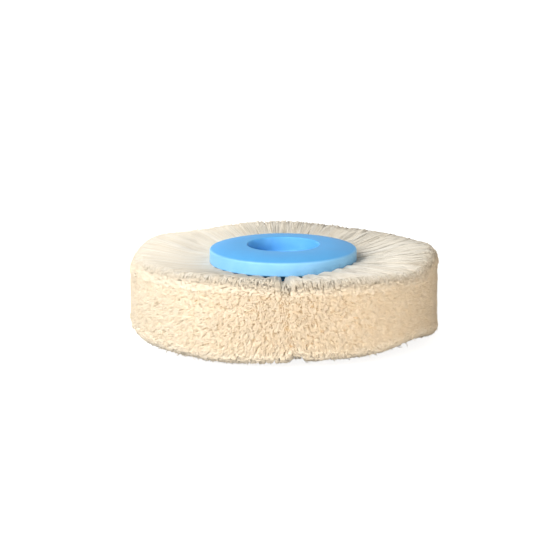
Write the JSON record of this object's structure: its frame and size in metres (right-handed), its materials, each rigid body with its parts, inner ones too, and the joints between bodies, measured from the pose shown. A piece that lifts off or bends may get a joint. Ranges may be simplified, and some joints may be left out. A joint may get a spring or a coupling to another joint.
{
  "type": "soft hair polishing wheel",
  "caption": "Flat wheel brush of soft cream hair clamped in a crowned blue plastic hub with a washer recess and a central bore, for polishing on a spindle.",
  "frame": {"origin": "centre of the wheel, where the bore's axis meets the mid-plane between the hub halves", "axes": "+Z along the bore's axis, out of the front hub half, which is up as the wheel lies flat; the wheel is round, so X and Y are free, with a gap between two front tufts on +X"},
  "size_m": [0.08, 0.08, 0.0244],
  "materials": {
    "hub_plastic": "satin",
    "anchor_wire": "drawn wire",
    "hair": "soft hair"
  },
  "bodies": {
    "root": {"hub_front": "hub_plastic", "hub_rear": "hub_plastic", "anchor_ring_front": "anchor_wire", "anchor_ring_rear": "anchor_wire", "tuft_front_01": "hair", "tuft_front_02": "hair", "tuft_front_03": "hair", "tuft_front_04": "hair", "tuft_front_05": "hair", "tuft_front_06": "hair", "tuft_front_07": "hair", "tuft_front_08": "hair", "tuft_front_09": "hair", "tuft_front_10": "hair", "tuft_front_11": "hair", "tuft_front_12": "hair", "tuft_front_13": "hair", "tuft_front_14": "hair", "tuft_front_15": "hair", "tuft_front_16": "hair", "tuft_front_17": "hair", "tuft_front_18": "hair", "tuft_front_19": "hair", "tuft_front_20": "hair", "tuft_front_21": "hair", "tuft_front_22": "hair", "tuft_front_23": "hair", "tuft_front_24": "hair", "tuft_front_25": "hair", "tuft_front_26": "hair", "tuft_front_27": "hair", "tuft_front_28": "hair", "tuft_rear_01": "hair", "tuft_rear_02": "hair", "tuft_rear_03": "hair", "tuft_rear_04": "hair", "tuft_rear_05": "hair", "tuft_rear_06": "hair", "tuft_rear_07": "hair", "tuft_rear_08": "hair", "tuft_rear_09": "hair", "tuft_rear_10": "hair", "tuft_rear_11": "hair", "tuft_rear_12": "hair", "tuft_rear_13": "hair", "tuft_rear_14": "hair", "tuft_rear_15": "hair", "tuft_rear_16": "hair", "tuft_rear_17": "hair", "tuft_rear_18": "hair", "tuft_rear_19": "hair", "tuft_rear_20": "hair", "tuft_rear_21": "hair", "tuft_rear_22": "hair", "tuft_rear_23": "hair", "tuft_rear_24": "hair", "tuft_rear_25": "hair", "tuft_rear_26": "hair", "tuft_rear_27": "hair", "tuft_rear_28": "hair"}
  },
  "joints": []
}
